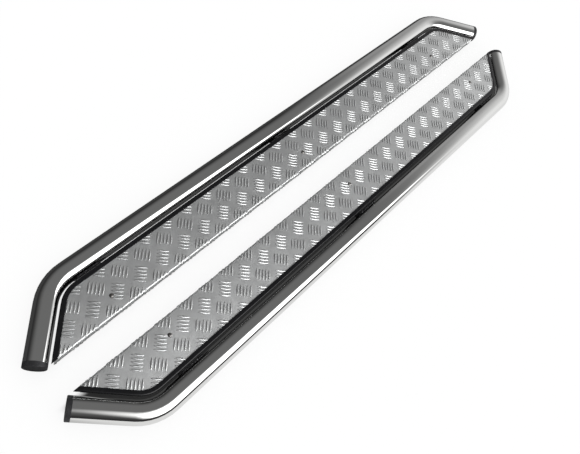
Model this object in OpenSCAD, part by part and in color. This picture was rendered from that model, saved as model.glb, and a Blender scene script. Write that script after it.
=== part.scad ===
// Running boards for a light truck or utility vehicle: a left and right pair.
// Each board is a bent stainless tube along its outer side, a folded aluminium
// tread plate behind it, a rubber channel on the plate's outer edge, and three
// pressed brackets under the plate, welded to the tube.
//
// Millimetres. X runs along the boards, Y across them, Z up, floor at Z = 0.
// The modules draw one board, its tube at Y = 0 and its plate towards -Y. The
// other is the same board turned half round about the middle of the pair.

/* [Tube] */
// Outside diameter of the tube
tube_d = 50.8; // [48:0.1:54]
// Wall of the tube
tube_wall = 2; // [1.2:0.1:3]
// Distance between the corners where the tube's straight lengths would meet
corner_span = 1488; // [1400:2:1900]
// Length of each bent end, from that corner to the cut end
leg_l = 173; // [166:1:184]
// Angle that each end turns inward (45 joins the tube and trim into one solid)
bend_a = 45; // [45:1:46]
// Radius of the bends, at the middle of the tube
bend_r = 102; // [95:1:110]

/* [End caps] */
// Thickness of the cap's face outside the tube
cap_t = 3.5; // [2:0.1:6]
// Length of the cap's plug inside the tube
plug_l = 18; // [12:1:30]
// Wall of the plug
plug_wall = 2.4; // [1.5:0.1:4]
// How far the sealing ribs stand out from the plug
rib_h = 0.6; // [0.3:0.1:1]
// Clearance between the ribs and the tube
rib_clear = 0.1; // [0.05:0.05:0.3]

/* [Tread plate] */
// Height of the plate's top face above the floor
plate_top = 40; // [39:0.5:42]
// Thickness of the plate
plate_t = 3; // [2:0.5:4]
// Distance from the middle of the tube to the plate's folded face
step_w = 140; // [137:1:146]
// Outside radius of the fold along the inner edge
fold_r = 10; // [6:0.5:12]
// Depth of the folded flange below the top face
flange_h = 30; // [20:1:36]

/* [Tread bars] */
// Distance between like groups of bars along the plate
tread_pitch = 64.5; // [60:0.5:72]
// Length of one bar
bar_l = 30; // [26:0.5:32]
// Width of one bar at its middle
bar_w = 4.8; // [4:0.1:6]
// Height of a bar above the plate
bar_h = 1.4; // [0.8:0.1:2]
// Distance between neighbouring bars of a group
bar_step = 7.8; // [7:0.1:8.5]
// Distance of the third row of groups from the middle of the tube
row_y = 102.5; // [100:0.5:105]

/* [Edge trim] */
// Open gap between the tube and the trim
trim_gap = 8.5; // [6:0.5:12]
// Width of the rubber lips that lie on the plate
lip_w = 6; // [5:0.5:9]
// Thickness of each lip
lip_t = 2.2; // [1.5:0.1:3]
// Thickness of the rubber behind the plate's edge
trim_back = 1.6; // [1:0.1:3]
// Clearance of the trim around the plate's edge
trim_clear = 0.1; // [0.05:0.05:0.3]

/* [Brackets] */
// Distance from the rear corner of the tube to the middle of the rear bracket
bracket_inset = 83; // [80:1:200]
// Distance from the middle of the board to the middle bracket
bracket_shift = -21; // [-40:1:40]
// Gap between the trim's lower lip and the bracket's raised top
top_gap = 2; // [1:0.5:5]
// Width of the bracket's raised top
top_w = 60; // [52:1:66]
// Width of each foot
foot_w = 32; // [28:1:40]
// Thickness of the bracket's sheet
sheet_t = 4; // [3:0.5:5]
// Gap between the bracket's inner end and the plate's folded face
bracket_end = 12; // [8:1:16]
// Distance from the middle of the tube to the lower corner of the webs
web_start = 12; // [10:1:16]
// Step down from the bracket's top to the tongue that meets the tube
web_drop = 6; // [5:0.5:10]
// Width of a mounting slot
slot_w = 9; // [7:0.5:11]
// Length of a mounting slot, end to end
slot_l = 20; // [16:1:24]
// Distance between the two rows of slots, across the board
slot_gap = 44; // [35:1:50]
// Size of the weld beads
weld_r = 3; // [2:0.5:4]

/* [Screws] */
// Thread diameter of the tread screws
screw_d = 6; // [5:1:6]
// Length of the screws under the head
screw_l = 20; // [18:1:25]
// Diameter of the screw head
head_d = 10.5; // [9:0.5:12]
// Height of the screw head
head_h = 3.3; // [2.5:0.1:4]
// Distance across the flats of the socket in the head
socket_af = 4; // [3:0.5:4]
// Clearance of the screws in their holes, on the diameter
screw_clear = 0.6; // [0.3:0.1:1]
// Thickness of the washers
washer_t = 1.6; // [1:0.1:2]
// Clearance of the nuts on the screws, on the diameter
nut_clear = 0.1; // [0.05:0.05:0.2]

/* [Pair] */
// Distance between the middles of the two tubes
pair_gap = 349; // [345:0.5:440]

/* [Hidden] */
eps = 0.01;
tube_r = tube_d / 2;
bore_r = tube_r - tube_wall;
corner_x = corner_span / 2;
// where the straight length ends, to a hundredth of a millimetre
bend_x = round(100 * (corner_x - bend_r * tan(bend_a / 2))) / 100;
reach_x = corner_x + step_w;                  // beyond both ends of the plate

plate_under = plate_top - plate_t;
plate_mid = plate_top - plate_t / 2;
flat_end = step_w - fold_r;                   // where the plate starts to fold

// The trim's round back stands off the tube, which places the plate's edge.
nose_r = plate_t / 2 + trim_clear + lip_t;
nose_off = tube_r + trim_gap + nose_r;
edge_off = tube_r + trim_gap + trim_back;
lip_off = edge_off + lip_w;

arc_r = (pow(bar_l, 2) + pow(bar_w, 2)) / (4 * bar_w);
row_step = tread_pitch / 2;
bar_sink = 0.4;      // how far a bar reaches into the plate
bar_clear = 0.3;     // gap between the bars and the trim or a screw head
groups = ceil(corner_x / tread_pitch) + 1;

bracket_gap = corner_x - bracket_inset + bracket_shift;
bracket_y0 = lip_off + top_gap;      // the top starts clear of the trim
bracket_y1 = step_w - bracket_end;
tongue_z = plate_under - web_drop;   // top of the tongue
slot_x = (top_w + foot_w) / 2;
slot_y = (bracket_y0 + bracket_y1) / 2;
screw_y = row_y;
hole_d = screw_d + screw_clear;
washer_d = 2 * screw_d;
washer_z = plate_under - sheet_t - washer_t;
nut_af = screw_d + 4;
nut_h = screw_d - 1;
collar_h = 1;

// ---- places ------------------------------------------------------------

module left() translate([0, pair_gap / 2, 0]) children();
module right() rotate(180) left() children();

// The children, drawn along +X from the corner, on an end leg.
// end is 1 for the front end and -1 for the rear end.
module at_leg(end) mirror([end > 0 ? 0 : 1, 0, 0])
    translate([corner_x, 0, 0]) rotate(-bend_a) children();

// station is -1, 0 or 1 for the rear, middle and front bracket.
module at_station(station)
    translate([bracket_shift + station * bracket_gap, 0, 0]) children();

// A profile swept in a straight line. It is drawn with X towards the plate,
// from the middle of the tube, and Y up from the floor.
module swept(length) rotate([90, 0, 90]) mirror([1, 0, 0])
    linear_extrude(height = length) children();

// The same profile along the tube's straight length and bends, and along both
// end legs as far as leg from the corner.
module along_tube(leg) {
    tail = leg - bend_r * tan(bend_a / 2);
    translate([-bend_x, 0, 0]) swept(2 * bend_x) children();
    for (side = [0, 1]) mirror([side, 0, 0]) translate([bend_x, -bend_r, 0])
        rotate(90 - bend_a) {
            rotate_extrude(angle = bend_a, $fn = 120)
                translate([bend_r, 0]) mirror([1, 0]) children();
            translate([bend_r, 0, 0]) rotate([90, 0, 0])
                linear_extrude(height = tail) mirror([1, 0]) children();
        }
}

// Plan of everything that lies more than off mm inward of the tube's line and
// no farther than back from it.
module inside_plan(off, back) {
    arc = bend_r - off;
    reach = corner_x + (back * cos(bend_a) - off) / sin(bend_a);
    turn_x = bend_x + arc * sin(bend_a);
    turn_y = bend_r - arc * cos(bend_a);
    intersection() {
        union() {
            polygon([[-reach, -back], [-turn_x, -turn_y], [-bend_x, -off],
                     [bend_x, -off], [turn_x, -turn_y], [reach, -back]]);
            for (end = [-1, 1]) translate([end * bend_x, -bend_r])
                circle(r = arc, $fn = 120);
        }
        translate([-reach, -back]) square([2 * reach, back - off]);
    }
}

// ---- tube and caps -----------------------------------------------------

module tube() color([0.78, 0.78, 0.80]) difference() {
    along_tube(leg_l) translate([0, tube_r]) circle(r = tube_r, $fn = 96);
    along_tube(leg_l + eps) translate([0, tube_r]) circle(r = bore_r, $fn = 96);
}

// A dished face with a round rim, on a hollow plug with three sealing ribs
module end_cap() color([0.08, 0.08, 0.09]) {
    rim_r = cap_t / 2;
    plug_r = bore_r - rib_h - rib_clear;
    difference() {
        union() {
            cylinder(r = tube_r, h = cap_t - rim_r, $fn = 96);
            cylinder(r = tube_r - rim_r, h = cap_t, $fn = 96);
            translate([0, 0, cap_t - rim_r]) rotate_extrude($fn = 96)
                translate([tube_r - rim_r, 0]) circle(r = rim_r, $fn = 48);
            translate([0, 0, -plug_l]) cylinder(r = plug_r, h = plug_l + eps, $fn = 96);
            for (k = [1 : 3]) translate([0, 0, -k * plug_l / 4])
                cylinder(r = plug_r + rib_h, h = plug_l / 14, $fn = 96);
        }
        translate([0, 0, -plug_l - eps])
            cylinder(r = plug_r - plug_wall, h = plug_l, $fn = 96);
        translate([0, 0, cap_t - 0.6]) cylinder(r = tube_r - 2 * rim_r, h = 1, $fn = 96);
    }
}

module cap_on(end) at_leg(end) translate([leg_l, 0, tube_r]) rotate([0, 90, 0]) end_cap();

// ---- tread plate -------------------------------------------------------

// Flat top, fold and flange
module sheet_profile() {
    translate([edge_off, plate_under]) square([flat_end - edge_off, plate_t]);
    translate([step_w - plate_t, plate_top - flange_h]) square([plate_t, flange_h - fold_r]);
    translate([flat_end, plate_top - fold_r]) intersection() {
        difference() {
            circle(r = fold_r, $fn = 64);
            circle(r = fold_r - plate_t, $fn = 64);
        }
        square(fold_r);
    }
}

// Plan of one bar: two arcs through its pointed ends
module bar() intersection_for (side = [-1, 1])
    translate([0, side * (arc_r - bar_w / 2)]) circle(r = arc_r, $fn = 120);

// Plan of whole rows of groups, five bars to a group. Rows 1 and 3 lean one
// way, rows 2 and 4 the other, half a pitch along.
module bar_rows(rows) for (row = rows, k = [-groups : groups]) {
    even = row % 2 == 0;
    translate([(k + (even ? 0.5 : 0)) * tread_pitch, -row_y + (3 - row) * row_step])
        rotate(even ? 45 : -45) for (i = [-2 : 2]) translate([0, i * bar_step]) bar();
}

// The bars run on over the fold, so the flange carries the next part of them.
module flange_bars() {
    tip_x = corner_x + (step_w * cos(bend_a) - edge_off) / sin(bend_a) - bar_h;
    unrolled = flat_end + fold_r * PI / 2;
    translate([0, bar_sink - step_w, plate_top - fold_r]) rotate([90, 0, 0])
        linear_extrude(height = bar_h + bar_sink) intersection() {
            translate([0, unrolled]) bar_rows([4 : 5]);
            translate([-tip_x, bar_h - flange_h + fold_r])
                square([2 * tip_x, flange_h - fold_r - bar_h]);
        }
}

module tread_plate() color([0.70, 0.70, 0.72]) difference() {
    union() {
        intersection() {
            translate([-reach_x, 0, 0]) swept(2 * reach_x) sheet_profile();
            linear_extrude(height = 2 * plate_top) inside_plan(edge_off, step_w);
        }
        translate([0, 0, plate_top - bar_sink]) linear_extrude(height = bar_h + bar_sink)
            intersection() {
                bar_rows([1 : 4]);
                inside_plan(lip_off + bar_clear, flat_end);
            }
        flange_bars();
    }
    for (station = [-1 : 1]) at_station(station) translate([0, -screw_y, 0]) {
        cylinder(d = hole_d, h = 2 * plate_top, $fn = 48);
        translate([0, 0, plate_top]) cylinder(d = head_d + 2 * bar_clear, h = plate_top, $fn = 48);
    }
}

// ---- edge trim ---------------------------------------------------------

// A channel: round back towards the tube, two lips that hold the plate's edge
module trim_profile() {
    lip_r = lip_t / 2;
    difference() {
        translate([nose_off, plate_mid]) {
            circle(r = nose_r, $fn = 64);
            translate([0, -nose_r]) square([lip_off - nose_off - lip_r, 2 * nose_r]);
        }
        translate([edge_off - trim_clear, plate_under - trim_clear])
            square([2 * lip_w, plate_t + 2 * trim_clear]);
    }
    for (side = [-1, 1]) translate([lip_off - lip_r, plate_mid + side * (nose_r - lip_r)])
        circle(r = lip_r, $fn = 32);
}

// Its ends are cut flush with the plate, and notched to clear the fold.
module edge_trim() color([0.06, 0.06, 0.07]) difference() {
    intersection() {
        along_tube(step_w / sin(bend_a)) trim_profile();
        translate([-reach_x, -step_w, 0]) cube([2 * reach_x, step_w, 2 * plate_top]);
    }
    translate([-reach_x, -step_w - 1, 0])
        cube([2 * reach_x, fold_r + 1, plate_top + trim_clear]);
}

// ---- brackets ----------------------------------------------------------

// A pressed hat section across the board, with a slotted foot on each side and
// a lower tongue that passes under the trim and meets the tube
module bracket() color([0.42, 0.43, 0.45]) difference() {
    run = bracket_y1 - bracket_y0;
    tongue_l = bracket_y0 + sheet_t;
    union() {
        translate([-top_w / 2, -bracket_y1, plate_under - sheet_t]) cube([top_w, run, sheet_t]);
        translate([-top_w / 2, -tongue_l, tongue_z - sheet_t]) cube([top_w, tongue_l, sheet_t]);
        translate([-top_w / 2, -tongue_l, tongue_z - sheet_t])
            cube([top_w, sheet_t, web_drop + sheet_t]);
        for (side = [-1, 1]) {
            translate([side * (top_w - sheet_t) / 2 - sheet_t / 2, -bracket_y1, 0])
                cube([sheet_t, run, plate_under]);
            translate([side * (top_w - sheet_t) / 2 - sheet_t / 2, -bracket_y1, 0])
                cube([sheet_t, bracket_y1 - web_start, tongue_z]);
            translate([side * slot_x - foot_w / 2, -bracket_y1, 0]) cube([foot_w, run, sheet_t]);
        }
    }
    translate([-top_w, 0, tube_r]) rotate([0, 90, 0])
        cylinder(r = tube_r, h = 2 * top_w, $fn = 96);
    translate([0, -screw_y, sheet_t]) cylinder(d = hole_d, h = plate_top, $fn = 48);
    for (side = [-1, 1], row = [-1, 1])
        translate([side * slot_x, -slot_y + row * slot_gap / 2, -1]) slot_cut();
}

module slot_cut() {
    reach = (slot_l - slot_w) / 2;
    translate([-reach, -slot_w / 2, 0]) cube([2 * reach, slot_w, sheet_t + 2]);
    for (side = [-1, 1]) translate([side * reach, 0, 0])
        cylinder(d = slot_w, h = sheet_t + 2, $fn = 48);
}

// A bead up the outer face of each web and one along the top of the tongue,
// where the bracket meets the tube
module bracket_welds() color([0.50, 0.48, 0.46]) {
    low = asin(web_start / tube_r) + 3;
    high = 90 + asin((tongue_z - tube_r) / tube_r) - 3;
    for (side = [0, 1]) mirror([side, 0, 0]) translate([top_w / 2, 0, tube_r])
        rotate([0, 90, 0]) rotate(-high) rotate_extrude(angle = high - low, $fn = 96)
            translate([tube_r, 0]) intersection() {
                circle(r = weld_r, $fn = 32);
                square(weld_r);
            }
    seam_y = sqrt(pow(tube_r, 2) - pow(tongue_z - tube_r, 2));
    translate([-top_w / 2, 0, 0]) swept(top_w) difference() {
        translate([seam_y, tongue_z]) intersection() {
            circle(r = weld_r, $fn = 32);
            translate([-weld_r, 0]) square(2 * weld_r);
        }
        translate([0, tube_r]) circle(r = tube_r, $fn = 96);
    }
}

// ---- fasteners ---------------------------------------------------------

module screw() color([0.35, 0.35, 0.37]) {
    dome_r = (pow(head_d / 2, 2) + pow(head_h, 2)) / (2 * head_h);
    difference() {
        union() {
            intersection() {
                translate([0, 0, head_h - dome_r]) sphere(r = dome_r, $fn = 96);
                cylinder(d = head_d, h = head_h, $fn = 64);
            }
            translate([0, 0, -screw_l]) cylinder(d = screw_d, h = screw_l + eps, $fn = 48);
        }
        translate([0, 0, head_h / 3]) cylinder(r = socket_af / 2 / cos(30), h = head_h, $fn = 6);
    }
}

module washer() color([0.72, 0.72, 0.74]) difference() {
    cylinder(d = washer_d, h = washer_t, $fn = 64);
    translate([0, 0, -1]) cylinder(d = hole_d, h = washer_t + 2, $fn = 48);
}

// A hexagon nut with a round locking collar below it
module lock_nut() color([0.60, 0.60, 0.62]) difference() {
    union() {
        translate([0, 0, -nut_h]) cylinder(r = nut_af / 2 / cos(30), h = nut_h, $fn = 6);
        translate([0, 0, -nut_h - collar_h])
            cylinder(d = 0.88 * nut_af, h = collar_h + eps, $fn = 48);
    }
    translate([0, 0, -2 * nut_h]) cylinder(d = screw_d + nut_clear, h = 3 * nut_h, $fn = 48);
}

module at_screws(height) for (station = [-1 : 1])
    at_station(station) translate([0, -screw_y, height]) children();

module tread_screws() at_screws(plate_top) screw();
module washers() at_screws(washer_z) washer();
module lock_nuts() at_screws(washer_z) lock_nut();
module welds() for (station = [-1 : 1]) at_station(station) bracket_welds();

// ---- nodes -------------------------------------------------------------

left() tube();  // left_tube
left() cap_on(1);  // left_front_cap
left() cap_on(-1);  // left_rear_cap
left() tread_plate();  // left_tread_plate
left() edge_trim();  // left_edge_trim
left() at_station(1) bracket();  // left_front_bracket
left() at_station(0) bracket();  // left_middle_bracket
left() at_station(-1) bracket();  // left_rear_bracket
left() welds();  // left_welds
left() tread_screws();  // left_tread_screws
left() washers();  // left_washers
left() lock_nuts();  // left_lock_nuts

right() tube();  // right_tube
right() cap_on(-1);  // right_front_cap
right() cap_on(1);  // right_rear_cap
right() tread_plate();  // right_tread_plate
right() edge_trim();  // right_edge_trim
right() at_station(-1) bracket();  // right_front_bracket
right() at_station(0) bracket();  // right_middle_bracket
right() at_station(1) bracket();  // right_rear_bracket
right() welds();  // right_welds
right() tread_screws();  // right_tread_screws
right() washers();  // right_washers
right() lock_nuts();  // right_lock_nuts
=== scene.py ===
import math

import bmesh
import bpy
from bpy.props import FloatProperty, FloatVectorProperty, IntProperty, PointerProperty
from mathutils import Matrix, Vector


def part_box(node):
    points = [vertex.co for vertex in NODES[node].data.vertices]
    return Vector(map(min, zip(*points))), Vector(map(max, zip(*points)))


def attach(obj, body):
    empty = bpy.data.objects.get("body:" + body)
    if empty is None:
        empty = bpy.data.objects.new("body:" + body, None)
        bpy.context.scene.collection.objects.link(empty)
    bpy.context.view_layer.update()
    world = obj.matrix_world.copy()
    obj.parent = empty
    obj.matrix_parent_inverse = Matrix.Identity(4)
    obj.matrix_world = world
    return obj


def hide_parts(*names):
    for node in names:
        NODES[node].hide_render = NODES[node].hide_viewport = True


bl_info = {
    "name": "Running boards",
    "version": (1, 0, 0),
    "blender": (4, 5, 0),
    "location": "3D View > Sidebar > Boards",
    "description": "Tread plates, finishes, studio and camera for a pair of running boards",
    "category": "Object",
}

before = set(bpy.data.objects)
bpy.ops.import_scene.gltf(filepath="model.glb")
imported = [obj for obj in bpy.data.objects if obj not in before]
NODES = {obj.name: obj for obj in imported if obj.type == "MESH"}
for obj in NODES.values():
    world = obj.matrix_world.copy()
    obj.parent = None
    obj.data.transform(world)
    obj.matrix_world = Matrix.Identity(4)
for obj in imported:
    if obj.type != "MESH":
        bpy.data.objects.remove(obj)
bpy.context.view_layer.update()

# The right board is the left board turned half round about the middle.
SIDES = {"left": 0.0, "right": math.pi}

# Each end turns inward by half a right angle.
TURN = math.pi / 4
SLANT = math.sqrt(0.5)

HEAD_CLEARANCE = 0.0003  # from a screw head to the bars round it
SCREW_HOLE = 0.0033      # radius of the hole for a screw's shank
DRILL_SHALLOW = 0.02     # through the bars alone
DRILL_DEEP = 0.2         # through the sheet


# ---- settings ------------------------------------------------------------


def length(name, description, default):
    return FloatProperty(
        name=name, description=description, default=default, min=0, subtype="DISTANCE",
        unit="LENGTH",
    )


def colour(name, description, default):
    return FloatVectorProperty(
        name=name, description=description, default=default, min=0, max=1, subtype="COLOR",
    )


class BOARDS_PG_tread(bpy.types.PropertyGroup):
    """Sizes of the sheet, its raised bars, the trim and the caps"""

    thickness: length("Sheet", "Thickness of the sheet", 0.003)
    fold_radius: length("Fold", "Outside radius of the fold", 0.004)
    bend_radius: length("Bend", "Radius of the tube's bends", 0.102)
    pitch: length("Pitch", "Distance between like groups of bars", 0.0645)
    third_row: length("Third row", "From the middle of the tube to the third row", 0.1025)
    lip_line: length("Lip line", "From the middle of the tube to the end of the bars", 0.0418)
    bar_length: length("Bar length", "Length of one bar", 0.030)
    bar_width: length("Bar width", "Width of one bar at its middle", 0.0054)
    bar_height: length("Bar height", "Height of a bar above the sheet", 0.0014)
    bar_sink: length("Bar sink", "How far a bar reaches into the sheet", 0.0004)
    bar_step: length("Bar step", "Distance between neighbouring bars", 0.0078)
    trim_reach: length("Trim reach", "How much wider the rubber is towards the tube", 0.0039)
    collar: length("Collar", "How much deeper the caps' rims are than the CAD's", 0.0075)
    bars: IntProperty(name="Bars", description="Bars in one group", default=5, min=1)


class BOARDS_PG_finish(bpy.types.PropertyGroup):
    """Colours of the finishes"""

    steel: colour("Polished steel", "Colour of the polished tubes", (0.86, 0.86, 0.85))
    tread: colour("Tread plate", "Colour of the tread aluminium", (0.93, 0.94, 0.94))
    rubber: colour("Rubber", "Colour of the edge trim", (0.006, 0.006, 0.007))
    cap: colour("Caps", "Colour of the end caps", (0.014, 0.014, 0.016))
    paint: colour("Paint", "Colour of the brackets and welds", (0.020, 0.020, 0.021))
    screw: colour("Screws", "Colour of the screw heads", (0.30, 0.29, 0.28))
    zinc: colour("Zinc", "Colour of the washers and nuts", (0.62, 0.62, 0.60))


class BOARDS_PG_studio(bpy.types.PropertyGroup):
    """Camera and light"""

    place: FloatVectorProperty(
        name="Place", description="Where the camera stands", subtype="TRANSLATION",
        unit="LENGTH", default=(-1.04862, -0.16123, 1.35052),
    )
    yaw: FloatProperty(
        name="Yaw", description="Turn of the line of sight from +X towards +Y",
        subtype="ANGLE", default=0.27563,
    )
    pitch: FloatProperty(
        name="Pitch", description="Fall of the line of sight below the level",
        subtype="ANGLE", default=1.00522,
    )
    roll: FloatProperty(
        name="Roll", description="Turn of the picture about the line of sight",
        subtype="ANGLE", default=-0.60148,
    )
    lens: FloatProperty(
        name="Lens", description="Focal length on a sensor 36 mm wide",
        subtype="DISTANCE_CAMERA", default=39.005,
    )
    shift: FloatVectorProperty(
        name="Shift", description="Shift of the picture, in picture widths", size=2,
        default=(0.07571, -0.04975),
    )
    sky: FloatProperty(
        name="Sky", description="Strength of the even light all round", default=1.07, min=0,
    )


# ---- helpers -------------------------------------------------------------


class Graph:
    """A node tree that is filled in from code"""

    def __init__(self, tree):
        self.tree = tree

    def add(self, kind, inputs=None, **settings):
        made = self.tree.nodes.new(kind)
        for key, value in settings.items():
            setattr(made, key, value)
        for key, value in (inputs or {}).items():
            self.feed(made.inputs[key], value)
        return made

    def feed(self, socket, value):
        if isinstance(value, bpy.types.NodeSocket):
            self.tree.links.new(value, socket)
        else:
            socket.default_value = value

    def math(self, operation, a, b=0.0):
        made = self.add("ShaderNodeMath", operation=operation)
        self.feed(made.inputs[0], a)
        self.feed(made.inputs[1], b)
        return made.outputs[0]

    def fade(self, value, low, high, start, end):
        """A smooth change from start, where the value is low, to end"""
        return self.add("ShaderNodeMapRange", {
            "Value": value, "From Min": low, "From Max": high, "To Min": start, "To Max": end,
        }, interpolation_type="SMOOTHSTEP").outputs["Result"]


class Finish(Graph):
    """A material whose Principled BSDF is fed from the graph"""

    def __init__(self, name, base, metallic, roughness, specular=0.5):
        self.material = bpy.data.materials.new(name)
        self.material.use_nodes = True
        super().__init__(self.material.node_tree)
        self.shader = self.tree.nodes["Principled BSDF"]
        self.shader.inputs["Base Color"].default_value = (*base, 1)
        self.shader.inputs["Metallic"].default_value = metallic
        self.shader.inputs["Roughness"].default_value = roughness
        self.shader.inputs["Specular IOR Level"].default_value = specular
        self.place = self.add("ShaderNodeTexCoord").outputs["Object"]

    def noise(self, scale, detail=2.0, stretch=(1, 1, 1), distortion=0.0):
        mapping = self.add("ShaderNodeMapping", {"Vector": self.place, "Scale": stretch})
        made = self.add("ShaderNodeTexNoise", {
            "Vector": mapping.outputs[0], "Scale": scale, "Detail": detail,
            "Distortion": distortion,
        })
        return made.outputs["Fac"]

    def ramp(self, value, low, high, start=0.0, end=1.0):
        made = self.add("ShaderNodeMapRange", {
            "Value": value, "From Min": low, "From Max": high, "To Min": start, "To Max": end,
        })
        return made.outputs["Result"]

    def blend(self, factor, first, second):
        made = self.add("ShaderNodeMix", data_type="RGBA")
        self.feed(made.inputs[0], factor)
        for socket, value in zip((made.inputs[6], made.inputs[7]), (first, second)):
            if isinstance(value, bpy.types.NodeSocket):
                self.tree.links.new(value, socket)
            else:
                socket.default_value = (*value, 1)
        return made.outputs[2]

    def tint(self, value):
        self.tree.links.new(value, self.shader.inputs["Base Color"])

    def rough(self, value):
        self.tree.links.new(value, self.shader.inputs["Roughness"])

    def bump(self, *layers):
        """layers are (height, depth in metres), the finest last"""
        normal = None
        for height, depth in layers:
            made = self.add("ShaderNodeBump", {"Height": height, "Distance": depth})
            if normal is not None:
                self.tree.links.new(normal, made.inputs["Normal"])
            normal = made.outputs["Normal"]
        self.tree.links.new(normal, self.shader.inputs["Normal"])


def shade(tone, factor):
    return tuple(min(channel * factor, 1.0) for channel in tone)


def dress(material, *names):
    """Puts one finish on the named nodes of both boards"""
    for side in SIDES:
        for name in names:
            mesh = NODES[side + "_" + name].data
            mesh.materials.clear()
            mesh.materials.append(material)


def new_object(name, mesh):
    made = bpy.data.objects.new(name, mesh)
    bpy.context.scene.collection.objects.link(made)
    return made


def mesh_from(name, verts, faces):
    mesh = bpy.data.meshes.new(name)
    build = bmesh.new()
    made = [build.verts.new(v) for v in verts]
    for face in faces:
        build.faces.new([made[i] for i in face])
    bmesh.ops.remove_doubles(build, verts=build.verts, dist=1e-7)
    bmesh.ops.recalc_face_normals(build, faces=build.faces)
    build.to_mesh(mesh)
    build.free()
    return mesh


# ---- tread plate ---------------------------------------------------------


class Board:
    """The left board's plan, with its tube on the X axis and its plate towards -Y"""

    def __init__(self):
        tread = bpy.context.scene.boards_tread
        self.tread = tread
        tube_low, tube_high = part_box("left_tube")
        low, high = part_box("left_tread_plate")
        screw_low, screw_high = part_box("left_tread_screws")
        tube_radius = (tube_high.z - tube_low.z) / 2
        self.tube_y = tube_high.y - tube_radius
        self.edge = self.tube_y - high.y
        self.back = self.tube_y - low.y - tread.bar_height
        self.reach = high.x
        self.top = high.z - tread.bar_height
        self.bottom = low.z
        self.flat_end = self.back - tread.fold_radius
        deep = self.tube_y - tube_low.y
        # the legs' end faces, measured along a leg
        self.leg_end = (tube_high.x + deep - 2 * tube_radius * SLANT) * SLANT
        # where the straight stretch ends and a bend begins
        self.bend_x = (self.leg_end / SLANT - deep / SLANT ** 2 + 2 * tube_radius * SLANT
                       - tread.bend_radius * math.tan(TURN / 2))
        self.head_radius = (screw_high.y - screw_low.y) / 2
        self.screw_y = (screw_high.y + screw_low.y) / 2 - self.tube_y
        self.first_screw = screw_low.x + self.head_radius
        self.screw_gap = (screw_high.x - screw_low.x) / 2 - self.head_radius

    def end_at(self, inward, off):
        """Half the length, inward of the tube, of what stays off from its line"""
        arc = self.tread.bend_radius - off
        back_off = (off - self.edge) / SLANT
        turn_y = self.tread.bend_radius - arc * SLANT
        turn_x = self.reach - back_off - (self.back - turn_y)
        if inward >= turn_y:
            return turn_x + inward - turn_y
        drop = self.tread.bend_radius - inward
        return turn_x - arc * SLANT + math.sqrt(max(arc * arc - drop * drop, 0.0))

    def flat_steps(self, off):
        """Distances inward, close together where the ends curve"""
        arc = self.tread.bend_radius - off
        turn = self.tread.bend_radius - arc * SLANT
        curved = [self.tread.bend_radius - arc * math.cos(TURN * k / 12) for k in range(13)]
        return [off, *curved[1:-1], turn]


def sheet_mesh(board):
    """The folded sheet: outer and inner skins, with the ends cut along the legs"""
    tread = board.tread
    radius, wall = tread.fold_radius, tread.thickness
    outer, inner = [], []
    for y in [*board.flat_steps(board.edge), board.flat_end]:
        outer.append((y, board.top))
        inner.append((y, board.top - wall))
    for k in range(1, 13):
        angle = math.pi / 2 * k / 12
        sine, cosine = math.sin(angle), math.cos(angle)
        centre = board.top - radius
        outer.append((board.flat_end + radius * sine, centre + radius * cosine))
        inner.append((board.flat_end + (radius - wall) * sine, centre + (radius - wall) * cosine))
    outer.append((board.back, board.bottom))
    inner.append((board.back - wall, board.bottom))
    verts = []
    for skin in (outer, inner):
        for end in (-1, 1):
            verts += [(end * board.end_at(y, board.edge), -y, z) for y, z in skin]
    count = len(outer)
    faces = []
    for k in range(count - 1):
        for a in (0, 2 * count):
            faces.append((a + k, a + k + 1, a + count + k + 1, a + count + k))
        for a in (0, count):
            faces.append((a + k, a + k + 1, a + 2 * count + k + 1, a + 2 * count + k))
    for k in (0, count - 1):
        faces.append((k, count + k, 3 * count + k, 2 * count + k))
    return mesh_from("sheet", verts, faces)


def bar_mesh(tread):
    """One crowned bar with pointed ends, lying along X"""
    half, high, sink = tread.bar_length / 2, tread.bar_height, tread.bar_sink
    stations = (-1.0, -0.93, -0.75, -0.5, -0.18, 0.18, 0.5, 0.75, 0.93, 1.0)
    across = ((-1.1, -1.0), (-0.8, 0.45), (-0.42, 0.86), (0.0, 1.0), (0.42, 0.86),
              (0.8, 0.45), (1.1, -1.0))
    verts, faces = [], []
    for s in stations:
        width = tread.bar_width / 2 * (1 - s * s)
        crown = high * (1 - s ** 6)
        for u, level in across:
            z = crown * level if level > 0 else -sink
            verts.append((s * half, u * width, z if abs(s) < 1 else -sink))
    row = len(across)
    for k in range(len(stations) - 1):
        for j in range(row - 1):
            a = k * row + j
            faces.append((a, a + row, a + row + 1, a + 1))
    feet = [k * row for k in range(len(stations))]
    feet += [k * row + row - 1 for k in range(len(stations) - 2, 0, -1)]
    faces.append(feet)
    return mesh_from("bar", verts, faces)


def limits_mesh(board):
    """A prism over the part of the unrolled sheet that carries bars"""
    tread = board.tread
    margin = tread.bar_height
    radius = tread.fold_radius
    side = [(board.end_at(y, tread.lip_line), y)
            for y in [*board.flat_steps(tread.lip_line), board.flat_end]]
    for k in range(9):
        angle = math.pi / 2 * k / 8
        y = board.flat_end + radius * math.sin(angle)
        side.append((board.end_at(y, board.edge) - margin, board.flat_end + radius * angle))
    last = board.flat_end + radius * math.pi / 2 + board.top - radius - board.bottom - margin
    side.append((side[-1][0], last))
    outline = [(x, -v) for x, v in side] + [(-x, -v) for x, v in reversed(side)]
    low, high = -0.002, 0.004
    count = len(outline)
    verts = [(x, y, low) for x, y in outline] + [(x, y, high) for x, y in outline]
    faces = [tuple(range(count)), tuple(range(count, 2 * count))]
    faces += [(k, (k + 1) % count, (k + 1) % count + count, k + count) for k in range(count)]
    return mesh_from("limits", verts, faces)


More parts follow.
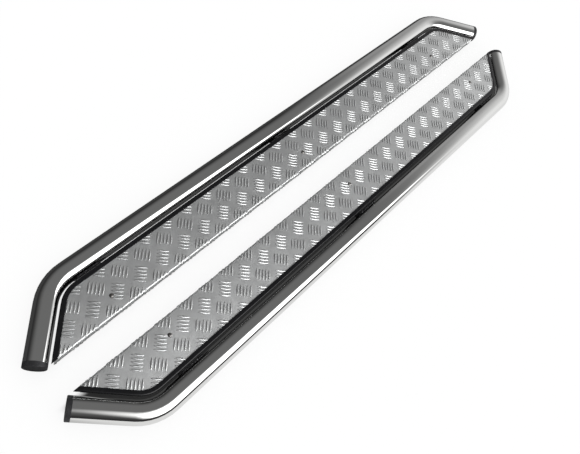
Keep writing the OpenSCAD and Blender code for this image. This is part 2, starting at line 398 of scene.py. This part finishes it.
TREAD_INPUTS = (
    ("Bar", "NodeSocketObject"), ("Limits", "NodeSocketObject"), ("Bars", "NodeSocketInt"),
    ("Bar step", "NodeSocketFloat"), ("Pitch", "NodeSocketFloat"), ("Groups", "NodeSocketInt"),
    ("Third row", "NodeSocketFloat"), ("Bar height", "NodeSocketFloat"),
    ("Flat end", "NodeSocketFloat"), ("Fold radius", "NodeSocketFloat"),
    ("Top", "NodeSocketFloat"), ("First screw", "NodeSocketVector"),
    ("Screw gap", "NodeSocketFloat"), ("Head clearance", "NodeSocketFloat"),
    ("Hole", "NodeSocketFloat"), ("Finish", "NodeSocketMaterial"),
)


def tread_tree():
    """Lays groups of bars on a plan, trims them, rolls them over the fold and drills"""
    tree = bpy.data.node_groups.new("tread bars", "GeometryNodeTree")
    tree.interface.new_socket("Sheet", in_out="INPUT", socket_type="NodeSocketGeometry")
    for name, kind in TREAD_INPUTS:
        tree.interface.new_socket(name, in_out="INPUT", socket_type=kind)
    tree.interface.new_socket("Plate", in_out="OUTPUT", socket_type="NodeSocketGeometry")
    g = Graph(tree)
    given = g.add("NodeGroupInput").outputs
    # one group of bars
    start = g.math("MULTIPLY", given["Bar step"], g.math("MULTIPLY",
                  g.math("SUBTRACT", given["Bars"], 1.0), -0.5))
    line = g.add("GeometryNodeMeshLine", {
        "Count": given["Bars"],
        "Start Location": g.add("ShaderNodeCombineXYZ", {"Y": start}).outputs[0],
        "Offset": g.add("ShaderNodeCombineXYZ", {"Y": given["Bar step"]}).outputs[0],
    })
    bar = g.add("GeometryNodeObjectInfo", {"Object": given["Bar"]}, transform_space="ORIGINAL")
    group = g.add("GeometryNodeInstanceOnPoints", {
        "Points": line.outputs["Mesh"], "Instance": bar.outputs["Geometry"],
    })
    # odd rows lean one way, even rows the other, half a pitch along
    middle = g.add("ShaderNodeCombineXYZ", {
        "Y": g.math("MULTIPLY", given["Third row"], -1.0)}).outputs[0]
    rows = []
    for count, extra, lean in ((3, 1.0, -math.pi / 4), (2, 0.0, math.pi / 4)):
        columns = g.math("ADD", given["Groups"], extra)
        span = g.math("MULTIPLY", g.math("SUBTRACT", columns, 1.0), given["Pitch"])
        grid = g.add("GeometryNodeMeshGrid", {
            "Size X": span, "Size Y": g.math("MULTIPLY", given["Pitch"], count - 1.0),
            "Vertices X": columns, "Vertices Y": count,
        })
        moved = g.add("GeometryNodeTransform", {
            "Geometry": grid.outputs["Mesh"], "Translation": middle})
        rows.append(g.add("GeometryNodeInstanceOnPoints", {
            "Points": moved.outputs[0], "Instance": group.outputs[0],
            "Rotation": (0.0, 0.0, lean),
        }).outputs[0])
    pattern = g.add("GeometryNodeJoinGeometry")
    for row in rows:
        tree.links.new(row, pattern.inputs[0])
    flat = g.add("GeometryNodeRealizeInstances", {"Geometry": pattern.outputs[0]})
    # trimmed to the plan, and cleared round the screw heads
    limits = g.add("GeometryNodeObjectInfo", {"Object": given["Limits"]},
                   transform_space="ORIGINAL")
    trimmed = g.add("GeometryNodeMeshBoolean", operation="INTERSECT", solver="MANIFOLD")
    tree.links.new(flat.outputs[0], trimmed.inputs["Mesh 2"])
    tree.links.new(limits.outputs["Geometry"], trimmed.inputs["Mesh 2"])
    screws = g.add("GeometryNodeMeshLine", {
        "Count": 3, "Start Location": given["First screw"],
        "Offset": g.add("ShaderNodeCombineXYZ", {"X": given["Screw gap"]}).outputs[0],
    })

    def drilled(body, radius, depth):
        drill = g.add("GeometryNodeMeshCylinder", {
            "Vertices": 48, "Radius": radius, "Depth": depth})
        drills = g.add("GeometryNodeInstanceOnPoints", {
            "Points": screws.outputs["Mesh"], "Instance": drill.outputs["Mesh"]})
        solid = g.add("GeometryNodeRealizeInstances", {"Geometry": drills.outputs[0]})
        return g.add("GeometryNodeMeshBoolean", {
            "Mesh 1": body, "Mesh 2": solid.outputs[0],
        }, operation="DIFFERENCE", solver="MANIFOLD").outputs["Mesh"]

    cleared = drilled(trimmed.outputs["Mesh"], given["Head clearance"], DRILL_SHALLOW)
    # rolled over the fold, with the height kept for the finish
    split = g.add("ShaderNodeSeparateXYZ", {
        "Vector": g.add("GeometryNodeInputPosition").outputs[0]}).outputs
    named = g.add("GeometryNodeStoreNamedAttribute", {
        "Geometry": cleared, "Name": "crown",
        "Value": g.math("DIVIDE", split["Z"], given["Bar height"]),
    }, data_type="FLOAT", domain="POINT")
    inward = g.math("MULTIPLY", split["Y"], -1.0)
    past = g.math("SUBTRACT", inward, given["Flat end"])
    quarter = g.math("MULTIPLY", given["Fold radius"], math.pi / 2)
    angle = g.math("MINIMUM", g.math("MAXIMUM", g.math("DIVIDE", past, given["Fold radius"]), 0.0),
                  math.pi / 2)
    drop = g.math("MAXIMUM", g.math("SUBTRACT", past, quarter), 0.0)
    arm = g.math("ADD", given["Fold radius"], split["Z"])
    new_y = g.math("ADD", g.math("MINIMUM", inward, given["Flat end"]),
                  g.math("MULTIPLY", arm, g.math("SINE", angle)))
    new_z = g.math("SUBTRACT", g.math("ADD", g.math("SUBTRACT", given["Top"], given["Fold radius"]),
                  g.math("MULTIPLY", arm, g.math("COSINE", angle))), drop)
    rolled = g.add("GeometryNodeSetPosition", {
        "Geometry": named.outputs[0],
        "Position": g.add("ShaderNodeCombineXYZ", {
            "X": split["X"], "Y": g.math("MULTIPLY", new_y, -1.0), "Z": new_z}).outputs[0],
    })
    sheet = drilled(given["Sheet"], given["Hole"], DRILL_DEEP)
    whole = g.add("GeometryNodeJoinGeometry")
    for part in (rolled.outputs[0], sheet):
        tree.links.new(part, whole.inputs[0])
    # smooth within a face, sharp across its edges
    sharp = g.add("FunctionNodeCompare", {
        "A": g.add("GeometryNodeInputMeshEdgeAngle").outputs["Unsigned Angle"], "B": 0.9,
    }, data_type="FLOAT", operation="LESS_THAN")
    smooth = g.add("GeometryNodeSetShadeSmooth", {"Geometry": whole.outputs[0]}, domain="FACE")
    edges = g.add("GeometryNodeSetShadeSmooth", {
        "Geometry": smooth.outputs[0], "Shade Smooth": sharp.outputs["Result"]}, domain="EDGE")
    real = g.add("GeometryNodeRealizeInstances", {"Geometry": edges.outputs[0]})
    done = g.add("GeometryNodeSetMaterial", {
        "Geometry": real.outputs[0], "Material": given["Finish"]})
    g.add("NodeGroupOutput", {"Plate": done.outputs[0]})
    return tree


def laid_tread(board, material):
    """The sheet with its bars, as one plain mesh in the left board's own frame"""
    tread = board.tread
    tree = tread_tree()
    bar = new_object("bar", bar_mesh(tread))
    limits = new_object("limits", limits_mesh(board))
    host = new_object("tread host", sheet_mesh(board))
    values = {
        "Bar": bar, "Limits": limits, "Bars": tread.bars, "Bar step": tread.bar_step,
        "Pitch": tread.pitch, "Groups": 2 * (math.ceil(board.reach / tread.pitch) + 1),
        "Third row": tread.third_row, "Bar height": tread.bar_height,
        "Flat end": board.flat_end, "Fold radius": tread.fold_radius, "Top": board.top,
        "First screw": (board.first_screw, board.screw_y, 0.0), "Screw gap": board.screw_gap,
        "Head clearance": board.head_radius + HEAD_CLEARANCE, "Hole": SCREW_HOLE,
        "Finish": material,
    }
    modifier = host.modifiers.new("tread", "NODES")
    modifier.node_group = tree
    for item in tree.interface.items_tree:
        if item.in_out == "INPUT" and item.name in values:
            modifier[item.identifier] = values[item.name]
    depsgraph = bpy.context.evaluated_depsgraph_get()
    depsgraph.update()
    mesh = bpy.data.meshes.new_from_object(host.evaluated_get(depsgraph))
    for made in (host, bar, limits):
        bpy.data.objects.remove(made)
    if len(mesh.polygons) < 10000:
        raise RuntimeError("the tread came out with only %d faces" % len(mesh.polygons))
    return mesh


# ---- reshaped copies -----------------------------------------------------


def reshaped(name, move, material):
    """A merged copy of a CAD piece with its points moved, which takes the piece's place"""
    source = NODES[name]
    mesh = source.data.copy()
    mesh.name = name + "_shaped"
    mesh.materials.clear()
    mesh.materials.append(material)
    mesh.transform(source.matrix_world)
    turn = Matrix.Rotation(SIDES[name.split("_")[0]], 4, "Z")
    mesh.transform(turn.inverted())
    build = bmesh.new()
    build.from_mesh(mesh)
    bmesh.ops.remove_doubles(build, verts=build.verts, dist=1e-6)
    for vert in build.verts:
        move(vert.co)
    bmesh.ops.recalc_face_normals(build, faces=build.faces)
    for face in build.faces:
        face.smooth = True
    for edge in build.edges:
        edge.smooth = len(edge.link_faces) == 2 and edge.calc_face_angle(0.0) < 0.6
    build.to_mesh(mesh)
    build.free()
    mesh.transform(turn)
    made = new_object(mesh.name, mesh)
    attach(made, "root")
    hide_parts(name)


def closer_to_tube(board, reach):
    """Moves the trim's round back towards the tube"""
    bend = board.tread.bend_radius
    play = 0.0002  # a little more than the slot's clearance
    round_end = 0.0021  # just short of where the round back runs into the lips
    low, high = board.top - board.tread.thickness - play, board.top + play

    def move(place):
        # the slot that holds the sheet's edge stays as it is
        limit = board.edge + (-play if low < place.z < high else round_end)
        dx, dy = abs(place.x) - board.bend_x, bend - (board.tube_y - place.y)
        if dx <= 0:
            if bend - dy < limit:
                place.y += reach
        elif dx <= dy + 1e-5:
            arc = math.hypot(dx, dy)
            if bend - arc < limit:
                place.x = math.copysign(board.bend_x + dx * (arc + reach) / arc, place.x)
                place.y += dy * reach / arc
        elif bend - (dx + dy) * SLANT < limit:
            place.x += math.copysign(reach / SLANT, place.x)
    return move


def drawn_back(board, amount, low, high):
    """Moves what lies from low to high past the legs' ends back along the legs"""
    def move(place):
        past = (abs(place.x) + board.tube_y - place.y) * SLANT - board.leg_end
        if low < past < high:
            place.x -= math.copysign(amount * SLANT, place.x)
            place.y += amount * SLANT
    return move


# ---- finishes ------------------------------------------------------------


def polished_steel(tone):
    """Mirror polish, with slow waves of the rolled tube and faint lengthwise lines"""
    f = Finish("polished steel", tone, 1.0, 0.06)
    cloud = f.noise(9.0, 3.0)
    f.tint(f.blend(cloud, shade(tone, 0.96), shade(tone, 1.03)))
    f.rough(f.ramp(f.noise(55.0, 4.0), 0.3, 0.75, 0.035, 0.085))
    f.bump((f.noise(7.0, 1.0), 0.0006), (f.noise(900.0, 2.0, (0.02, 1, 1)), 0.0000025))
    return f.material


def tread_aluminium(tone):
    """Rolled bright sheet: fine grain, shinier worn crowns, dull low ground and painted shade on
    the bars' lower flanks
    """
    f = Finish("tread aluminium", tone, 1.0, 0.3)
    crown = f.add("ShaderNodeAttribute", attribute_name="crown").outputs["Fac"]
    high = f.ramp(crown, 0.02, 0.4)
    stain = f.noise(14.0, 5.0, distortion=0.4)
    grain = f.noise(1600.0, 2.0, (0.06, 1, 1))
    ground = f.blend(f.ramp(stain, 0.3, 0.7), shade(tone, 0.9), tone)
    # painted shade: the lower flanks of the bars are painted nearly black, where shade falls
    # between them
    painted_flank_shade = f.math("MULTIPLY", f.ramp(crown, 0.02, 0.12), f.ramp(crown, 0.4, 0.2))
    raised = f.blend(high, ground, tone)
    f.tint(f.blend(painted_flank_shade, raised, shade(tone, 0.07)))
    worn = f.ramp(f.noise(60.0, 4.0), 0.3, 0.7, 0.04, -0.04)
    f.rough(f.math("ADD", f.ramp(high, 0, 1, 0.5, 0.38), worn))
    f.bump((f.noise(120.0, 3.0), 0.00012), (grain, 0.000012))
    return f.material


def trim_rubber(tone):
    """Black rubber with a soft gloss and a little dust"""
    f = Finish("trim rubber", tone, 0.0, 0.16, 0.35)
    dust = f.ramp(f.noise(80.0, 6.0), 0.55, 0.8)
    f.tint(f.blend(dust, tone, shade(tone, 2.2)))
    f.rough(f.ramp(f.noise(40.0, 4.0), 0.3, 0.7, 0.1, 0.22))
    f.bump((f.noise(30.0, 2.0), 0.0005), (f.noise(2500.0, 2.0), 0.00002))
    return f.material


def cap_plastic(tone):
    """Moulded black plastic with a fine spark-eroded grain"""
    f = Finish("cap plastic", tone, 0.0, 0.5)
    f.tint(f.blend(f.noise(400.0, 4.0), shade(tone, 0.6), shade(tone, 1.9)))
    f.rough(f.ramp(f.noise(120.0, 3.0), 0.3, 0.7, 0.42, 0.6))
    f.bump((f.noise(1400.0, 3.0), 0.00012))
    return f.material


def bracket_paint(tone):
    """Powder coat: orange peel, with pale specks of spatter and painted glints"""
    f = Finish("bracket paint", tone, 0.0, 0.45)
    # pale specks: spatter, partly painted glints on the rough coat
    spatter_and_glints = f.ramp(f.noise(500.0, 4.0), 0.62, 0.72)
    f.tint(f.blend(spatter_and_glints, tone, shade(tone, 6.0)))
    f.rough(f.ramp(f.noise(90.0, 3.0), 0.3, 0.7, 0.38, 0.55))
    f.bump((f.noise(700.0, 2.0), 0.00006))
    return f.material


def weld_paint(tone):
    """The same coat over the ripples of a weld bead"""
    f = Finish("weld paint", tone, 0.0, 0.4)
    # pale specks: weld spatter, partly painted glints on the rough bead
    spatter_and_glints = f.ramp(f.noise(600.0, 4.0), 0.6, 0.72)
    f.tint(f.blend(spatter_and_glints, tone, shade(tone, 30.0)))
    f.rough(f.ramp(f.noise(200.0, 3.0), 0.3, 0.7, 0.3, 0.5))
    wave = f.add("ShaderNodeTexWave", {
        "Vector": f.place, "Scale": 160.0, "Distortion": 2.0, "Detail": 2.0})
    f.bump((wave.outputs["Fac"], 0.0006), (f.noise(1500.0, 2.0), 0.00005))
    return f.material


def screw_steel(tone):
    """Dull stainless heads with turning marks"""
    f = Finish("screw steel", tone, 1.0, 0.38)
    f.tint(f.blend(f.noise(500.0, 3.0), shade(tone, 0.6), shade(tone, 1.3)))
    f.rough(f.ramp(f.noise(300.0, 3.0), 0.3, 0.7, 0.3, 0.5))
    f.bump((f.noise(2500.0, 2.0), 0.00003))
    return f.material


def zinc_plate(tone):
    """Zinc plating with its cloudy bloom"""
    f = Finish("zinc plate", tone, 1.0, 0.35)
    f.tint(f.blend(f.noise(250.0, 5.0), shade(tone, 0.8), (0.70, 0.69, 0.60)))
    f.rough(f.ramp(f.noise(180.0, 4.0), 0.3, 0.7, 0.26, 0.46))
    f.bump((f.noise(1800.0, 2.0), 0.00002))
    return f.material


# ---- operators -----------------------------------------------------------


class BOARDS_OT_tubes(bpy.types.Operator):
    """Polish both tubes, a little shorter to make room for deep cap rims"""

    bl_idname = "boards.tubes"
    bl_label = "Tubes"

    def execute(self, context):
        board = Board()
        material = polished_steel(context.scene.boards_finish.steel)
        # only the tube's end faces move
        shorter = drawn_back(board, board.tread.collar, -0.001, 0.001)
        for side in SIDES:
            reshaped(side + "_tube", shorter, material)
        return {"FINISHED"}


class BOARDS_OT_tread(bpy.types.Operator):
    """Lay the crowned bars on both tread plates"""

    bl_idname = "boards.tread"
    bl_label = "Tread plates"

    def execute(self, context):
        board = Board()
        material = tread_aluminium(context.scene.boards_finish.tread)
        pattern = laid_tread(board, material)
        for side, turn in SIDES.items():
            mesh = pattern.copy()
            mesh.name = side + "_plate_with_bars"
            mesh.transform(Matrix.Rotation(turn, 4, "Z")
                           @ Matrix.Translation((0, board.tube_y, 0)))
            plate = new_object(mesh.name, mesh)
            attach(plate, "root")
            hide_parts(side + "_tread_plate")
        bpy.data.meshes.remove(pattern)
        return {"FINISHED"}


class BOARDS_OT_trim(bpy.types.Operator):
    """Widen the rubber channels towards the tubes and finish them"""

    bl_idname = "boards.trim"
    bl_label = "Edge trim"

    def execute(self, context):
        board = Board()
        material = trim_rubber(context.scene.boards_finish.rubber)
        wider = closer_to_tube(board, board.tread.trim_reach)
        for side in SIDES:
            reshaped(side + "_edge_trim", wider, material)
        return {"FINISHED"}


class BOARDS_OT_caps(bpy.types.Operator):
    """Deepen the rims of the four end caps and finish them"""

    bl_idname = "boards.caps"
    bl_label = "End caps"

    def execute(self, context):
        board = Board()
        material = cap_plastic(context.scene.boards_finish.cap)
        # the plug and the back of the rim move, and the rim's face stays
        deeper = drawn_back(board, board.tread.collar, -0.1, 0.0005)
        for side in SIDES:
            for name in ("_front_cap", "_rear_cap"):
                reshaped(side + name, deeper, material)
        return {"FINISHED"}


class BOARDS_OT_brackets(bpy.types.Operator):
    """Coat the brackets and their welds"""

    bl_idname = "boards.brackets"
    bl_label = "Brackets and welds"

    def execute(self, context):
        tone = context.scene.boards_finish.paint
        dress(bracket_paint(tone), "front_bracket", "middle_bracket", "rear_bracket")
        dress(weld_paint(tone), "welds")
        return {"FINISHED"}


class BOARDS_OT_fasteners(bpy.types.Operator):
    """Finish the screws, washers and lock nuts"""

    bl_idname = "boards.fasteners"
    bl_label = "Fasteners"

    def execute(self, context):
        finish = context.scene.boards_finish
        dress(screw_steel(finish.screw), "tread_screws")
        dress(zinc_plate(finish.zinc), "washers", "lock_nuts")
        return {"FINISHED"}


def stage_graph(name):
    """A material with no shader yet, its graph, and the place on the object"""
    material = bpy.data.materials.new(name)
    material.use_nodes = True
    g = Graph(material.node_tree)
    g.tree.nodes.remove(g.tree.nodes["Principled BSDF"])
    place = g.add("ShaderNodeSeparateXYZ", {
        "Vector": g.add("ShaderNodeTexCoord").outputs["Object"]}).outputs
    return material, g, place


def floor_material():
    """White to the eye but for the boards' shadow and the painted shade under the right board's gap

    Shiny surfaces see it dark on the left and pale on the right.
    """
    material, g, place = stage_graph("studio floor")
    path = g.add("ShaderNodeLightPath").outputs
    # painted shade: a strip under the gap beside the right board's tube is painted dark
    gap = g.math("MULTIPLY", g.fade(place["Y"], -0.185, -0.165, 0.0, 1.0),
                g.fade(place["Y"], -0.035, -0.055, 0.0, 1.0))
    beyond = g.math("SUBTRACT", g.math("ABSOLUTE", place["X"]), place["Y"])
    gap = g.math("MULTIPLY", gap, g.fade(beyond, 0.93, 0.90, 0.0, 1.0))
    # painted shade: within that strip the floor's colour darkens with ambient occlusion
    open_air = g.add("ShaderNodeAmbientOcclusion", {"Distance": 0.06}).outputs["AO"]
    painted_occlusion_shade = g.math("SUBTRACT", 1.0, g.math("POWER", open_air, 2.5))
    level = g.math("MULTIPLY", g.math("SUBTRACT", 1.0, g.math("MULTIPLY", gap, painted_occlusion_shade)), 0.95)
    tone = g.add("ShaderNodeCombineColor", {"Red": level, "Green": level, "Blue": level})
    diffuse = g.add("ShaderNodeBsdfDiffuse", {"Color": tone.outputs[0]})
    white = g.add("ShaderNodeEmission", {"Color": (1, 1, 1, 1), "Strength": 1.0})
    # painted shade: to the eye the strip under that gap is nearly black
    seen = g.math("MULTIPLY", path["Is Camera Ray"],
                 g.math("SUBTRACT", 0.85, g.math("MULTIPLY", gap, 0.83)))
    eye = g.add("ShaderNodeMixShader", {0: seen, 1: diffuse.outputs[0], 2: white.outputs[0]})
    # painted shade: shiny surfaces see that strip dark too
    shine = g.add("ShaderNodeEmission", {
        "Color": (1, 1, 1, 1),
        "Strength": g.math("MULTIPLY", g.fade(place["Y"], 0.10, -0.22, 0.05, 0.8),
                          g.math("SUBTRACT", 1.0, g.math("MULTIPLY", gap, 0.9)))})
    mirrored = g.math("MAXIMUM", path["Is Glossy Ray"], path["Is Transmission Ray"])
    mix = g.add("ShaderNodeMixShader", {0: mirrored, 1: eye.outputs[0], 2: shine.outputs[0]})
    g.tree.links.new(mix.outputs[0], g.tree.nodes["Material Output"].inputs[0])
    return material


def glowing(name, strength_of):
    """An emission whose strength is worked out from the place on the object"""
    material, g, place = stage_graph(name)
    glow = g.add("ShaderNodeEmission", {
        "Color": (1, 1, 1, 1), "Strength": strength_of(g, place)})
    g.tree.links.new(glow.outputs[0], g.tree.nodes["Material Output"].inputs[0])
    return material


def tent_strength(g, place):
    """A dark tent with one strong window to the right and a pale band low down ahead"""
    x, y, z = place["X"], place["Y"], place["Z"]
    base = g.fade(z, 0.2, 1.8, 0.03, 0.155)
    ahead = g.math("MULTIPLY", g.fade(x, 1.2, 1.9, 0.0, 0.85), g.fade(z, 1.8, 0.5, 0.0, 1.0))
    ahead = g.math("MULTIPLY", ahead, g.fade(y, 0.9, -0.2, 0.35, 1.0))
    end = g.math("ADD", g.math("ADD", x, g.math("MULTIPLY", z, 0.9)), g.math("MULTIPLY", y, 1.2))
    window = g.math("MULTIPLY", g.fade(x, -1.6, -0.9, 0.0, 1.0), g.fade(end, 1.0, 0.3, 0.0, 1.0))
    rise = g.math("POWER", g.fade(y, 0.1, -1.6, 0.0, 1.0), 2.0)
    window = g.math("MULTIPLY", window, g.math("MULTIPLY", rise, g.fade(z, 0.5, 0.95, 0.0, 3.6)))
    return g.math("ADD", base, g.math("ADD", ahead, window))


def level_sheet(name, size, height, material):
    mesh = bpy.data.meshes.new(name)
    build = bmesh.new()
    bmesh.ops.create_grid(build, x_segments=1, y_segments=1, size=size)
    bmesh.ops.translate(build, verts=build.verts, vec=(0, 0, height))
    build.to_mesh(mesh)
    build.free()
    mesh.materials.append(material)
    made = new_object(name, mesh)
    return made


def ball_mesh(radius, material):
    mesh = bpy.data.meshes.new("tent")
    build = bmesh.new()
    bmesh.ops.create_uvsphere(build, u_segments=32, v_segments=16, radius=radius)
    build.to_mesh(mesh)
    build.free()
    mesh.materials.append(material)
    return mesh


class BOARDS_OT_stage(bpy.types.Operator):
    """Set up the floor, the light all round and the tent that shiny surfaces mirror"""

    bl_idname = "boards.stage"
    bl_label = "Stage"

    def execute(self, context):
        studio = context.scene.boards_studio
        level_sheet("floor", 30, 0, floor_material())
        tent = new_object("tent", ball_mesh(2.2, glowing("studio tent", tent_strength)))
        tent.visible_camera = False
        tent.visible_diffuse = False
        tent.visible_shadow = False
        tent.visible_transmission = False
        world = bpy.data.worlds.new("studio")
        context.scene.world = world
        world.use_nodes = True
        background = world.node_tree.nodes["Background"]
        background.inputs["Color"].default_value = (1, 1, 1, 1)
        background.inputs["Strength"].default_value = studio.sky
        context.scene.view_settings.view_transform = "Standard"
        return {"FINISHED"}


class BOARDS_OT_camera(bpy.types.Operator):
    """Stand the camera over the rear ends"""

    bl_idname = "boards.camera"
    bl_label = "Camera"

    def execute(self, context):
        studio = context.scene.boards_studio
        cy, sy = math.cos(studio.yaw), math.sin(studio.yaw)
        cp, sp = math.cos(studio.pitch), math.sin(studio.pitch)
        sight = Vector((cy * cp, sy * cp, -sp))
        right = Vector((sy, -cy, 0))
        down = sight.cross(right)
        cr, sr = math.cos(studio.roll), math.sin(studio.roll)
        across = cr * right + sr * down
        fall = -sr * right + cr * down
        camera = new_object("camera", bpy.data.cameras.new("camera"))
        turn = Matrix((across, -fall, -sight)).transposed()
        camera.matrix_world = Matrix.Translation(studio.place) @ turn.to_4x4()
        camera.data.sensor_width = 36
        camera.data.lens = studio.lens
        camera.data.shift_x, camera.data.shift_y = studio.shift
        camera.data.clip_end = 60
        context.scene.camera = camera
        return {"FINISHED"}


class BOARDS_PT_panel(bpy.types.Panel):
    """Everything that makes the boards, with its sizes and colours"""

    bl_idname = "BOARDS_PT_panel"
    bl_label = "Running boards"
    bl_space_type = "VIEW_3D"
    bl_region_type = "UI"
    bl_category = "Boards"

    def draw(self, context):
        scene = context.scene
        for maker in MAKERS:
            self.layout.operator(maker.bl_idname)
        for settings in (scene.boards_tread, scene.boards_finish, scene.boards_studio):
            box = self.layout.box()
            for name in settings.__annotations__:
                box.prop(settings, name)


MAKERS = (
    BOARDS_OT_stage, BOARDS_OT_camera, BOARDS_OT_tubes, BOARDS_OT_tread, BOARDS_OT_trim,
    BOARDS_OT_caps, BOARDS_OT_brackets, BOARDS_OT_fasteners,
)
SETTINGS = {
    "boards_tread": BOARDS_PG_tread,
    "boards_finish": BOARDS_PG_finish,
    "boards_studio": BOARDS_PG_studio,
}


def register():
    for made in (*SETTINGS.values(), *MAKERS, BOARDS_PT_panel):
        bpy.utils.register_class(made)
    for name, kind in SETTINGS.items():
        setattr(bpy.types.Scene, name, PointerProperty(type=kind))


def unregister():
    for name in SETTINGS:
        delattr(bpy.types.Scene, name)
    for made in reversed((*SETTINGS.values(), *MAKERS, BOARDS_PT_panel)):
        bpy.utils.unregister_class(made)


def main():
    register()
    for maker in MAKERS:
        group, name = maker.bl_idname.split(".")
        getattr(getattr(bpy.ops, group), name)()


if __name__ == "__main__":
    main()
